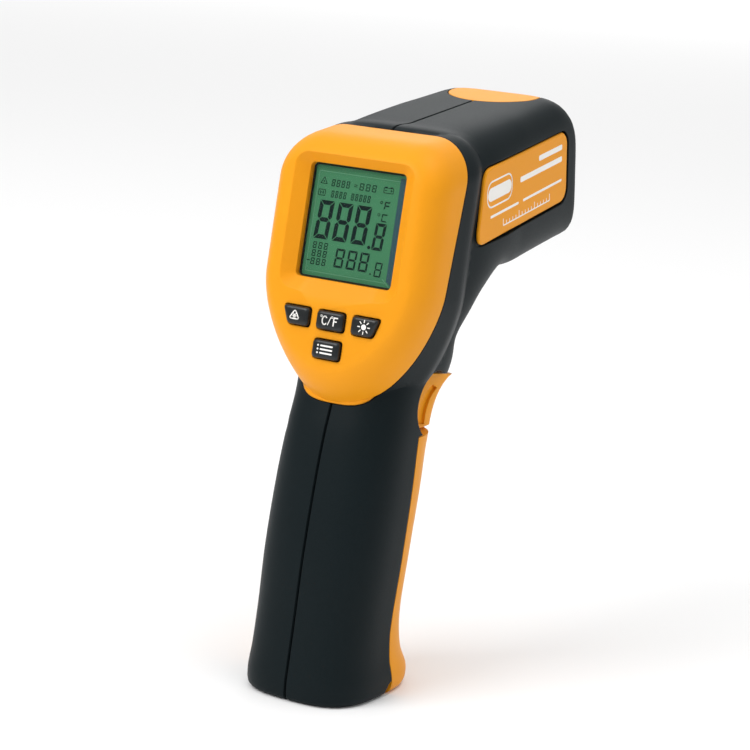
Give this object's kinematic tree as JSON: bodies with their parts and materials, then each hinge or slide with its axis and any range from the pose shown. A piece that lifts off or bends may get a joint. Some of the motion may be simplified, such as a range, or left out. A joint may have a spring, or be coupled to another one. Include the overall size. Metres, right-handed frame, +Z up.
{
  "type": "infrared thermometer",
  "caption": "Pistol-grip infrared thermometer with a backlit display, rubber keys, a sprung trigger, a lens and laser in the nose, and a hinged battery door.",
  "frame": {"origin": "centre of the flat foot at the bottom of the grip", "axes": "+Z up from the foot, +Y towards the nose, +X to the user's right as they read the display"},
  "size_m": [0.05, 0.1082, 0.1536],
  "materials": {
    "housing": "satin moulded",
    "yellow": "satin moulded",
    "key_rubber": "moulded",
    "black_plastic": "fine matt",
    "screen": "liquid crystal panel",
    "white_plastic": "diffuser",
    "board": "solder mask",
    "steel": "plated",
    "brass": "turned",
    "battery_can": "printed steel can",
    "red_lead": "insulated wire",
    "glass": "polished"
  },
  "bodies": {
    "housing": {"housing_right": "housing", "housing_left": "housing", "display_bezel": "yellow", "top_cap": "yellow", "side_label_right": "yellow", "side_label_left": "yellow", "keypad_membrane": "key_rubber", "nose_plate": "black_plastic", "optics_tube": "black_plastic", "processor_chip": "black_plastic", "buzzer": "black_plastic", "trigger_switch": "black_plastic", "battery_snap": "black_plastic", "battery_lead_negative": "black_plastic", "key_switch_laser": "black_plastic", "key_switch_unit": "black_plastic", "key_switch_backlight": "black_plastic", "key_switch_mode": "black_plastic", "lcd_module": "screen", "backlight_panel": "white_plastic", "main_board": "board", "sensor_board": "board", "housing_screw_1": "steel", "housing_screw_2": "steel", "housing_screw_3": "steel", "housing_screw_4": "steel", "housing_screw_5": "steel", "board_screw_1": "steel", "board_screw_2": "steel", "trigger_pin": "steel", "trigger_spring": "steel", "door_hinge_pin": "steel", "lens_ring": "steel", "infrared_sensor": "steel", "laser_module": "brass", "battery": "battery_can", "battery_lead_positive": "red_lead", "display_window": "glass", "infrared_lens": "glass", "laser_window": "glass"},
    "trigger": {"trigger": "yellow"},
    "switch_plunger": {"switch_plunger": "white_plastic"},
    "battery_door": {"battery_door": "yellow"},
    "key_laser": {"key_laser": "key_rubber"},
    "key_unit": {"key_unit": "key_rubber"},
    "key_backlight": {"key_backlight": "key_rubber"},
    "key_mode": {"key_mode": "key_rubber"}
  },
  "joints": [
    {"name": "trigger_pull", "type": "hinge", "parent": "housing", "child": "trigger", "pos_m": [0, 0.02294, 0.08741], "axis": [-1, 0, 0], "range_deg": [0, 6], "stiffness_Nm_per_rad": 0.6, "springref_deg": -6.88, "deforming": ["trigger_spring"]},
    {"name": "switch_press", "type": "slide", "parent": "housing", "child": "switch_plunger", "axis": [0, -0.9877, 0.1564], "range_m": [0, 0.0015]},
    {"name": "door_swing", "type": "hinge", "parent": "housing", "child": "battery_door", "pos_m": [0, 0.0034, 0.00172], "axis": [-1, 0, 0], "range_deg": [0, 95]},
    {"name": "laser_press", "type": "slide", "parent": "housing", "child": "key_laser", "axis": [0, 0.9877, -0.1564], "range_m": [0, 0.0008], "stiffness_N_per_m": 900, "springref_m": -0.0003},
    {"name": "unit_press", "type": "slide", "parent": "housing", "child": "key_unit", "axis": [0, 0.9877, -0.1564], "range_m": [0, 0.0008], "stiffness_N_per_m": 900, "springref_m": -0.0003},
    {"name": "backlight_press", "type": "slide", "parent": "housing", "child": "key_backlight", "axis": [0, 0.9877, -0.1564], "range_m": [0, 0.0008], "stiffness_N_per_m": 900, "springref_m": -0.0003},
    {"name": "mode_press", "type": "slide", "parent": "housing", "child": "key_mode", "axis": [0, 0.9877, -0.1564], "range_m": [0, 0.0008], "stiffness_N_per_m": 900, "springref_m": -0.0003}
  ],
  "couplings": [
    {"joint": "switch_press", "follows": "trigger_pull", "m_per_rad": 0.0138}
  ]
}
